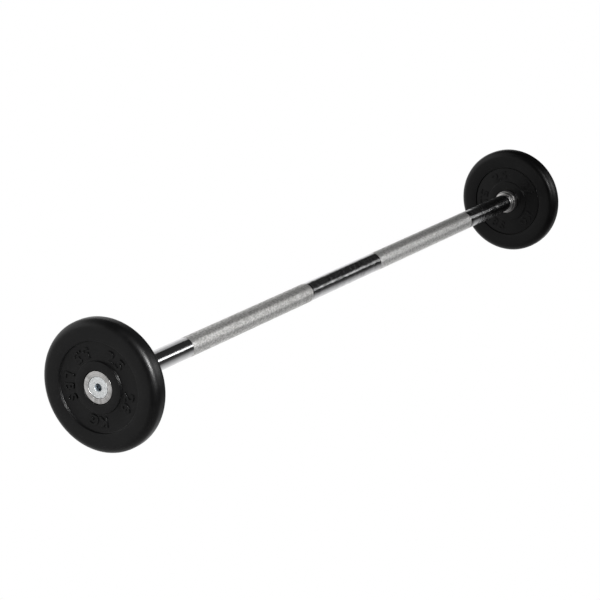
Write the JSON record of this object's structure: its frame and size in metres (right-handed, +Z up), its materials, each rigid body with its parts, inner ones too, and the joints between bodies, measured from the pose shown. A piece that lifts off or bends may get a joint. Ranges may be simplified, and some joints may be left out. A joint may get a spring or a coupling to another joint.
{
  "type": "fixed barbell",
  "caption": "Straight knurled chrome bar with a round rubber-covered weight plate clamped on each end, lifted by hand as one piece.",
  "frame": {"origin": "middle of the bar, on its axis", "axes": "+X along the bar to the right end, +Z up, with one flat facet of each plate's tread facing straight down"},
  "size_m": [1.106, 0.1536, 0.1536],
  "materials": {
    "bar_chrome": "bright plated, knurled on the grips",
    "collar_chrome": "bright plated",
    "bushing_steel": "turned",
    "core_iron": "as cast",
    "cover_rubber": "moulded, satin",
    "washer_steel": "turned in fine rings",
    "screw_zinc": "zinc plated, matt"
  },
  "bodies": {
    "root": {"bar": "bar_chrome", "stop_collar_left": "collar_chrome", "stop_collar_right": "collar_chrome", "plate_bushing_left": "bushing_steel", "plate_bushing_right": "bushing_steel", "plate_core_left": "core_iron", "plate_core_right": "core_iron", "plate_cover_left": "cover_rubber", "plate_cover_right": "cover_rubber", "end_washer_left": "washer_steel", "end_washer_right": "washer_steel", "end_screw_left": "screw_zinc", "end_screw_right": "screw_zinc"}
  },
  "joints": []
}
